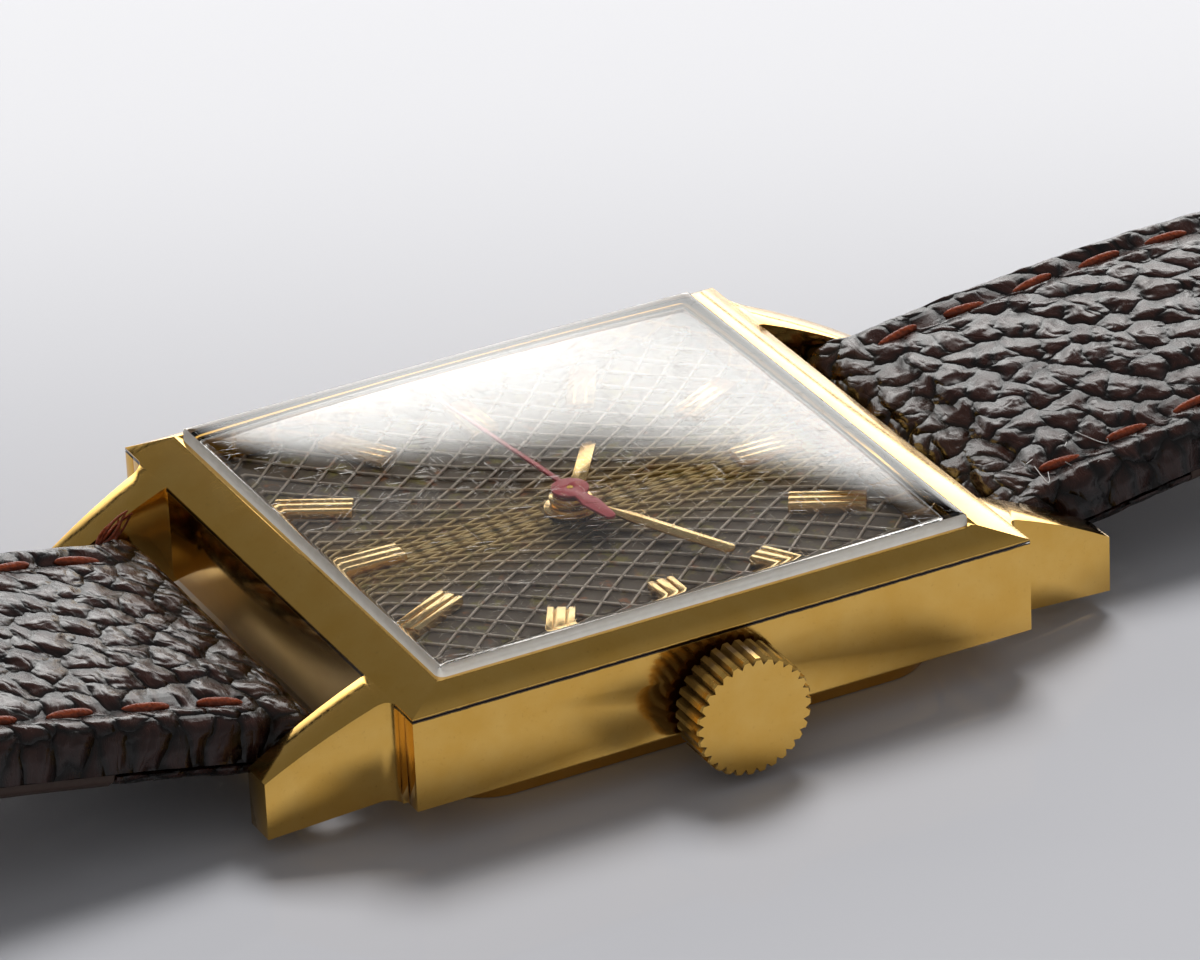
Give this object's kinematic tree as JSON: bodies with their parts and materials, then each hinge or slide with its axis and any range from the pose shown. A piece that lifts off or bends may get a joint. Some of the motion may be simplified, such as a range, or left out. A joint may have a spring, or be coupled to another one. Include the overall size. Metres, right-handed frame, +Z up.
{
  "type": "wristwatch",
  "caption": "Square gold-plated hand-wound wristwatch with a netted bronze dial and a padded dark leather strap, lying open on its case back.",
  "frame": {"origin": "centre of the case back's resting face, on the table", "axes": "+X toward 3 o'clock and the crown, +Y toward 12 o'clock and the buckle strap, +Z up out of the dial"},
  "size_m": [0.0313, 0.2321, 0.0099],
  "materials": {
    "gold_plate_polished": "polished",
    "gold_plate_brushed": "brushed",
    "clear_acrylic": "clear",
    "dial_bronze": "satin",
    "gold_markers": "polished",
    "gold_hands": "polished",
    "seconds_red": "satin",
    "dark_leather": "grained",
    "lining_leather": "matt",
    "plated_brass": "satin",
    "wheel_brass": "polished",
    "blued_steel": "polished",
    "polished_steel": "polished",
    "plain_steel": "brushed",
    "ruby": "clear",
    "nitrile": "matt",
    "ring_plastic": "matt"
  },
  "bodies": {
    "case": {"case_shell": "gold_plate_polished", "case_back": "gold_plate_brushed", "crystal": "clear_acrylic", "crown_tube": "plain_steel", "movement_ring": "ring_plastic", "dial": "dial_bronze", "hour_markers": "gold_markers", "main_plate": "plated_brass", "barrel_bridge": "plated_brass", "train_bridge": "plated_brass", "balance_cock": "plated_brass", "pallet_cock": "plated_brass", "jewels": "ruby", "bridge_screws": "polished_steel", "click_spring": "plain_steel", "spring_bar_tube_12": "plain_steel", "spring_bar_tube_6": "plain_steel", "spring_bar_spring_12": "plain_steel", "spring_bar_spring_6": "plain_steel"},
    "crown_slide": {"crown_gasket": "nitrile"},
    "crown": {"crown": "gold_plate_polished", "winding_stem": "plain_steel"},
    "sliding_pinion": {"sliding_pinion": "plain_steel"},
    "winding_pinion": {"winding_pinion": "plain_steel"},
    "crown_wheel": {"crown_wheel": "polished_steel"},
    "barrel_arbor": {"barrel_arbor": "plain_steel", "ratchet_wheel": "polished_steel", "ratchet_screw": "polished_steel"},
    "click": {"click": "polished_steel"},
    "setting_lever": {"setting_lever": "plain_steel"},
    "yoke": {"yoke": "plain_steel"},
    "seconds": {"seconds_wheel": "wheel_brass", "seconds_hand": "seconds_red"},
    "third": {"third_wheel": "wheel_brass"},
    "minutes": {"centre_wheel": "wheel_brass", "cannon_pinion": "plain_steel", "minute_hand": "gold_hands"},
    "hours": {"hour_wheel": "wheel_brass", "hour_hand": "gold_hands"},
    "minute_wheel": {"minute_wheel": "wheel_brass"},
    "setting_wheel": {"setting_wheel": "plain_steel"},
    "barrel": {"barrel": "wheel_brass", "mainspring": "blued_steel"},
    "escape": {"escape_wheel": "polished_steel"},
    "pallet": {"pallet_fork": "polished_steel"},
    "balance": {"balance_wheel": "wheel_brass", "hairspring": "blued_steel"},
    "tip_12_right": {"spring_bar_tip_12_right": "polished_steel"},
    "tip_12_left": {"spring_bar_tip_12_left": "polished_steel"},
    "tip_6_right": {"spring_bar_tip_6_right": "polished_steel"},
    "tip_6_left": {"spring_bar_tip_6_left": "polished_steel"},
    "strap_12": {"short_strap": "dark_leather", "short_strap_lining": "lining_leather", "fixed_keeper": "dark_leather"},
    "strap_6": {"long_strap": "dark_leather", "long_strap_lining": "lining_leather"},
    "free_keeper": {"free_keeper": "dark_leather"},
    "buckle": {"buckle_frame": "gold_plate_polished", "buckle_bar": "plain_steel"},
    "tongue": {"buckle_tongue": "gold_plate_polished"}
  },
  "joints": [
    {"name": "crown_pull", "type": "slide", "parent": "case", "child": "crown_slide", "axis": [1, 0, 0], "range_m": [0, 0.0007]},
    {"name": "crown_turn", "type": "hinge", "parent": "crown_slide", "child": "crown", "pos_m": [0.01678, 0, 0.0032], "axis": [1, 0, 0], "continuous": true},
    {"name": "sliding_pinion_shift", "type": "slide", "parent": "crown", "child": "sliding_pinion", "axis": [-1, 0, 0], "range_m": [0, 0.0014]},
    {"name": "winding_pinion_turn", "type": "hinge", "parent": "case", "child": "winding_pinion", "pos_m": [0.00777, 0, 0.0032], "axis": [1, 0, 0], "continuous": true},
    {"name": "crown_wheel_turn", "type": "hinge", "parent": "case", "child": "crown_wheel", "pos_m": [0.00528, 0, 0.00125], "axis": [0, 0, 1], "continuous": true},
    {"name": "ratchet_turn", "type": "hinge", "parent": "case", "child": "barrel_arbor", "pos_m": [0.002, 0.0055, 0.00125], "axis": [0, 0, 1], "continuous": true},
    {"name": "click_swing", "type": "hinge", "parent": "case", "child": "click", "pos_m": [-0.00296, 0.00683, 0.00125], "axis": [0, 0, -1], "range_deg": [0, 8]},
    {"name": "setting_lever_swing", "type": "hinge", "parent": "case", "child": "setting_lever", "pos_m": [0.0098, 0.0026, 0.0039], "axis": [0, 0, 1], "range_deg": [0, 15.38]},
    {"name": "yoke_swing", "type": "hinge", "parent": "case", "child": "yoke", "pos_m": [0.00617, -0.0042, 0.0039], "axis": [0, 0, 1], "range_deg": [0, 11.16]},
    {"name": "seconds_turn", "type": "hinge", "parent": "case", "child": "seconds", "pos_m": [0, 0, 0.006], "axis": [0, 0, -1], "continuous": true},
    {"name": "third_turn", "type": "hinge", "parent": "case", "child": "third", "pos_m": [-0.00323, -0.00028, 0.00174], "axis": [0, 0, -1], "continuous": true},
    {"name": "minutes_turn", "type": "hinge", "parent": "case", "child": "minutes", "pos_m": [0, 0, 0.0055], "axis": [0, 0, -1], "continuous": true},
    {"name": "hours_turn", "type": "hinge", "parent": "case", "child": "hours", "pos_m": [0, 0, 0.0051], "axis": [0, 0, -1], "continuous": true},
    {"name": "minute_wheel_turn", "type": "hinge", "parent": "case", "child": "minute_wheel", "pos_m": [0.00067, -0.00251, 0.00385], "axis": [0, 0, -1], "continuous": true},
    {"name": "setting_wheel_turn", "type": "hinge", "parent": "case", "child": "setting_wheel", "pos_m": [0.00375, -0.00145, 0.00385], "axis": [0, 0, -1], "continuous": true},
    {"name": "barrel_turn", "type": "hinge", "parent": "case", "child": "barrel", "pos_m": [0.002, 0.0055, 0.0029], "axis": [0, 0, -1], "continuous": true},
    {"name": "escape_turn", "type": "hinge", "parent": "case", "child": "escape", "pos_m": [0.00198, -0.00236, 0.00244], "axis": [0, 0, -1], "continuous": true},
    {"name": "pallet_rock", "type": "hinge", "parent": "case", "child": "pallet", "pos_m": [0.00071, -0.00443, 0.00244], "axis": [0, 0, 1], "range_deg": [-4, 4]},
    {"name": "balance_swing", "type": "hinge", "parent": "case", "child": "balance", "pos_m": [-0.00102, -0.00723, 0.0016], "axis": [0, 0, 1], "range_deg": [-270, 270], "deforming": ["hairspring"]},
    {"name": "tip_12_right_press", "type": "slide", "parent": "case", "child": "tip_12_right", "axis": [-1, 0, 0], "range_m": [0, 0.0009], "deforming": ["spring_bar_spring_12"]},
    {"name": "tip_12_left_press", "type": "slide", "parent": "case", "child": "tip_12_left", "axis": [1, 0, 0], "range_m": [0, 0.0009], "deforming": ["spring_bar_spring_12"]},
    {"name": "tip_6_right_press", "type": "slide", "parent": "case", "child": "tip_6_right", "axis": [-1, 0, 0], "range_m": [0, 0.0009], "deforming": ["spring_bar_spring_6"]},
    {"name": "tip_6_left_press", "type": "slide", "parent": "case", "child": "tip_6_left", "axis": [1, 0, 0], "range_m": [0, 0.0009], "deforming": ["spring_bar_spring_6"]},
    {"name": "strap_12_swing", "type": "hinge", "parent": "case", "child": "strap_12", "pos_m": [0, 0.0184, 0.0035], "axis": [1, 0, 0], "range_deg": [-80, 75]},
    {"name": "strap_6_swing", "type": "hinge", "parent": "case", "child": "strap_6", "pos_m": [0, -0.0184, 0.0035], "axis": [-1, 0, 0], "range_deg": [-80, 75]},
    {"name": "free_keeper_slide", "type": "slide", "parent": "strap_12", "child": "free_keeper", "axis": [0, 0.9962, -0.0872], "range_m": [-0.008, 0.003]},
    {"name": "buckle_swing", "type": "hinge", "parent": "strap_12", "child": "buckle", "pos_m": [0, 0.09314, 0.00184], "axis": [1, 0, 0], "range_deg": [-90, 30]},
    {"name": "tongue_swing", "type": "hinge", "parent": "buckle", "child": "tongue", "pos_m": [0, 0.09314, 0.00184], "axis": [1, 0, 0], "range_deg": [0, 60]}
  ],
  "couplings": [
    {"joint": "sliding_pinion_shift", "follows": "crown_pull", "ratio": 2},
    {"joint": "setting_lever_swing", "follows": "crown_pull", "rad_per_m": 382.32},
    {"joint": "yoke_swing", "follows": "crown_pull", "rad_per_m": 276.91},
    {"joint": "winding_pinion_turn", "follows": "crown_turn", "ratio": 1},
    {"joint": "crown_wheel_turn", "follows": "crown_turn", "ratio": 0.5},
    {"joint": "ratchet_turn", "follows": "crown_turn", "ratio": -0.3},
    {"joint": "third_turn", "follows": "seconds_turn", "ratio": -0.13333},
    {"joint": "minutes_turn", "follows": "seconds_turn", "ratio": 0.016667},
    {"joint": "hours_turn", "follows": "seconds_turn", "ratio": 0.0013889},
    {"joint": "minute_wheel_turn", "follows": "seconds_turn", "ratio": -0.0055556},
    {"joint": "setting_wheel_turn", "follows": "seconds_turn", "ratio": 0.0083333},
    {"joint": "barrel_turn", "follows": "seconds_turn", "ratio": -0.0020833},
    {"joint": "escape_turn", "follows": "seconds_turn", "ratio": -10}
  ]
}
